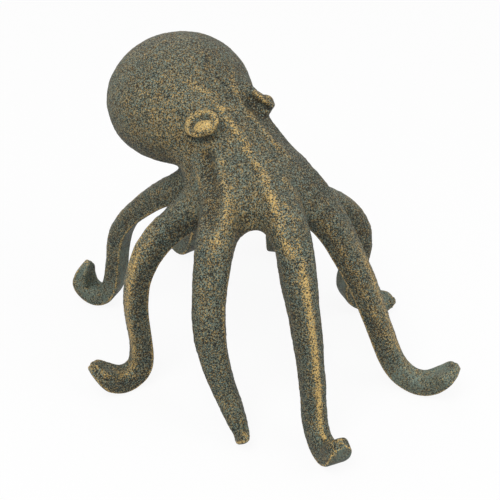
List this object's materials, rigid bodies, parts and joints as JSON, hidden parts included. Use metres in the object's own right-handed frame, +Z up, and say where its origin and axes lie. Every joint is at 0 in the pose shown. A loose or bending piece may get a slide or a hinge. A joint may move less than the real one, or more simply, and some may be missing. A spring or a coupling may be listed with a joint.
{
  "type": "octopus figurine",
  "caption": "Cast metal octopus figurine that stands on curled arms, with a balloon-shaped mantle leaning back.",
  "frame": {"origin": "on the standing surface, under the middle of the figurine's bounding box", "axes": "+Z up, the octopus faces -Y, its mantle leans back towards +Y, +X to the right seen from the front"},
  "size_m": [0.1712, 0.2066, 0.1609],
  "materials": {
    "verdigris_iron": "sand cast, verdigris paint rubbed with gold"
  },
  "bodies": {
    "root": {"mantle_shell": "verdigris_iron", "head_crown": "verdigris_iron", "eye_left": "verdigris_iron", "eye_right": "verdigris_iron", "arm_left_rear": "verdigris_iron", "arm_left_middle": "verdigris_iron", "arm_left_front": "verdigris_iron", "arm_front": "verdigris_iron", "arm_right_front": "verdigris_iron", "arm_right_middle": "verdigris_iron", "arm_right_rear": "verdigris_iron", "arm_rear": "verdigris_iron"}
  },
  "joints": []
}
